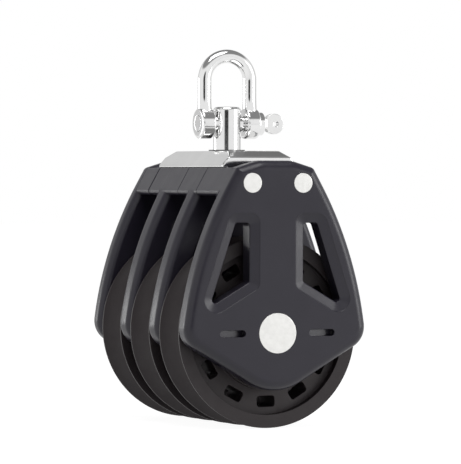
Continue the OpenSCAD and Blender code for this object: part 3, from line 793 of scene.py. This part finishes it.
bow, size = shape_tree("bow_along_its_bar",
                       [("Leg", FLOAT), ("Crown Radius", FLOAT), ("Bar Radius", FLOAT),
                        ("Spread", FLOAT), ("Spread Height", FLOAT)])
leg, crown = size["Leg"], size["Crown Radius"]
line = bow.node("GeometryNodeCurvePrimitiveLine", {}, {})
line = bow.node("GeometryNodeResampleCurve", {}, {"Curve": line, "Count": BOW_STOPS})
factor = bow.node("GeometryNodeSplineParameter", {}, {})
length = 2 * leg + math.pi * crown
along = factor * length
bend = ((along - leg) / crown).maths("MAXIMUM", (along - leg) / crown, 0.0)
bend = bend.maths("MINIMUM", bend, math.pi)
rise_z = along.maths("MINIMUM", along, leg) + crown * bend.maths("SINE", bend)
fall = along - leg - math.pi * crown
path_x = -1 * (crown * bend.maths("COSINE", bend))
path_z = rise_z - fall.maths("MAXIMUM", fall, 0.0)
spot = bow.node("ShaderNodeCombineXYZ", {}, {"X": path_x, "Z": path_z})
path = bow.node("GeometryNodeSetPosition", {}, {"Geometry": line, "Position": spot})
print("the bar's path has", BOW_STOPS, "points")

# %% Give the line a bar's thickness and its spread
profile = bow.node("GeometryNodeCurvePrimitiveCircle", {},
                   {"Resolution": BAR_SIDES, "Radius": size["Bar Radius"]})
tube = bow.node("GeometryNodeCurveToMesh", {},
                {"Curve": path, "Profile Curve": profile, "Fill Caps": True})
place = bow.node("GeometryNodeInputPosition", {}, {})
parts = bow.node("ShaderNodeSeparateXYZ", {}, {0: place}).socket.node
side_y, height = Val(bow, parts.outputs["Y"]), Val(bow, parts.outputs["Z"])
swell = bow.node("ShaderNodeMapRange", dict(interpolation_type="SMOOTHSTEP"),
                 {"Value": height, "From Min": size["Spread Height"],
                  "From Max": FULL_SPREAD_Z, "To Min": 0.0, "To Max": size["Spread"]})
shift = bow.node("ShaderNodeCombineXYZ", {}, {"Y": side_y * swell})
forged = bow.node("GeometryNodeSetPosition", {}, {"Geometry": tube, "Offset": shift})
end_tree(bow, forged, FINISH["polished_steel"])
print("the bow's tree has", len(bow.tree.nodes), "nodes")


# %% Forge the shackle
def disc_x(name, x, profile, steps=96):
    """A solid about the pin's axis; profile lists (distance along X, radius)."""
    return skin(name, [[(x + a, r * math.cos(2 * math.pi * k / steps),
                         PIN_Z + r * math.sin(2 * math.pi * k / steps)) for k in range(steps)]
                       for a, r in profile])


leg_height = BOW_REACH - LEG_X + BAR_D / 2
shackle = grown("shackle_forging", bow,
                {"Leg": leg_height, "Crown Radius": LEG_X, "Bar Radius": BAR_D / 2,
                 "Spread": 0.55, "Spread Height": 11.0})
lift = bmesh.new()
lift.from_mesh(shackle.data)
bmesh.ops.translate(lift, vec=(0, 0, PIN_Z), verts=lift.verts)
bmesh.ops.recalc_face_normals(lift, faces=lift.faces)
lift.to_mesh(shackle.data)
lift.free()
h = EAR_T / 2
ear_in = EAR_D / 2 - EAR_EDGE - EAR_STEP
ear_line = soft_profile([(-h, ear_in), (-h, EAR_D / 2), (h, EAR_D / 2), (h, ear_in)], EAR_EDGE)
ears = [disc_x("ear", x, [(p.x, p.y) for p in ear_line]) for x in (-LEG_X, LEG_X)]
combine(shackle, ears, "UNION")
lead = 0.35
bore = [(-EAR_T, PIN_HOLE / 2 + lead), (-h - 0.01, PIN_HOLE / 2 + lead), (-h + lead, PIN_HOLE / 2),
        (h - lead, PIN_HOLE / 2), (h + 0.01, PIN_HOLE / 2 + lead), (EAR_T, PIN_HOLE / 2 + lead)]
combine(shackle, [disc_x("bore", x, bore) for x in (-LEG_X, LEG_X)], "DIFFERENCE")
finished(shackle, "polished_steel", "shackle", ["shackle"], sharp=50)

# %% [markdown]
# ## Bearing balls
# Each sheave runs on two rows of white balls between its hub and the race. The retaining rings
# hide them until the block is taken apart. One tree sets a ball on every point of a circle, turns
# the second row by half a step, and is grown once for each wheel. The race has a groove for each
# row, so a ball's centre lies a sixth of its diameter deeper than on a plain race.

# %% The balls' tree
INT = "NodeSocketInt"
rows, size = shape_tree("rows_of_balls",
                        [("Balls", INT), ("Circle Radius", FLOAT), ("Row Gap", FLOAT),
                         ("Ball Radius", FLOAT), ("Along Axle", FLOAT)])
ball = rows.node("GeometryNodeMeshUVSphere", {},
                 {"Segments": 20, "Rings": 12, "Radius": size["Ball Radius"]})
ball = rows.node("GeometryNodeSetShadeSmooth", {}, {"Geometry": ball})
half_gap = size["Row Gap"] / 2
both_rows = []
for side, turn in ((-1, 0.0), (1, 0.5)):
    circle = rows.node("GeometryNodeMeshCircle", {},
                       {"Vertices": size["Balls"], "Radius": size["Circle Radius"]})
    row = rows.node("GeometryNodeInstanceOnPoints", {}, {"Points": circle, "Instance": ball})
    angle = size["Balls"].maths("DIVIDE", 2 * math.pi * turn, size["Balls"])
    spin = rows.node("ShaderNodeCombineXYZ", {}, {"X": math.pi / 2, "Y": angle})
    away = rows.node("ShaderNodeCombineXYZ", {}, {"Y": size["Along Axle"] + side * half_gap})
    both_rows.append(rows.node("GeometryNodeTransform", {},
                               {"Geometry": row, "Translation": away, "Rotation": spin}))
joined = rows.tree.nodes.new("GeometryNodeJoinGeometry")
for row in reversed(both_rows):
    rows.tree.links.new(row.socket, joined.inputs[0])
end_tree(rows, Val(rows, joined.outputs[0]), FINISH["ball_acetal"])
print("the balls' tree has", len(rows.tree.nodes), "nodes")

# %% Grow the balls
RACE_D, BALL_D, BALLS, ROW_GAP = 23, 4.8, 16, 10.0
ball_circle = (RACE_D + BALL_D) / 2 - BALL_D / 6
for word, k in (("front", -1), ("middle", 0), ("rear", 1)):
    piece = grown(word + "_ball_rows", rows,
                  {"Balls": BALLS, "Circle Radius": ball_circle, "Row Gap": ROW_GAP,
                   "Ball Radius": BALL_D / 2, "Along Axle": k * PITCH})
    finished(piece, "ball_acetal", word + "_wheel", [word + "_balls"], sharp=80, weighted=False)

# %% [markdown]
# ## The other solids
# The sheaves, the post and the small parts are already as fine in the CAD as the picture needs.
# They keep their own meshes and only get a finish.

# %% Dress the CAD nodes
NODE_FINISH = {
    "sheave_composite": ["front_sheave", "middle_sheave", "rear_sheave"],
    "black_acetal": ["front_retainers", "middle_retainers", "rear_retainers", "swivel_bush",
                     "thrust_washer"],
    "polished_steel": ["swivel_post", "shackle_pin"],
    "satin_steel": ["front_race", "middle_race", "rear_race", "axle", "axle_screw", "head_bolts",
                    "head_bolt_nuts"],
}
for name, nodes in NODE_FINISH.items():
    for node in nodes:
        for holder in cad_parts[node].material_slots:
            holder.material = FINISH[name]
    print(name, "dresses", ", ".join(nodes))
